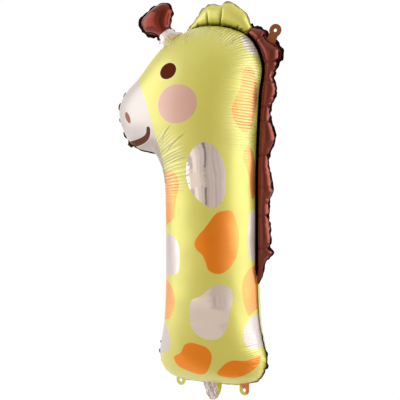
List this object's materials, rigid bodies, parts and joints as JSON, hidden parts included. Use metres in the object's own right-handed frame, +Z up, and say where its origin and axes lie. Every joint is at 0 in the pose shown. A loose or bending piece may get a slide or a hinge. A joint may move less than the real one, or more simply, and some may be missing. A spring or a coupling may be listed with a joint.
{
  "type": "number foil balloon",
  "caption": "Inflated foil balloon in the shape of the number one, drawn as a giraffe, with an ear, a horn, a mane, punched tabs and a filling tail.",
  "frame": {"origin": "centre of the punched hole in the hang tab, on the seal plane between the two foil panels", "axes": "+Z up along the column of the number, +X towards the mane, -Y out of the front panel"},
  "size_m": [0.4045, 0.2386, 0.9092],
  "materials": {
    "yellow_foil": "satin yellow-green print on metallised film, with orange and silver spots",
    "brown_foil": "bright brown print on metallised film, mirror-like",
    "tab_film": "flat brown printed film"
  },
  "bodies": {
    "root": {"foil_envelope": "yellow_foil"}
  },
  "joints": []
}
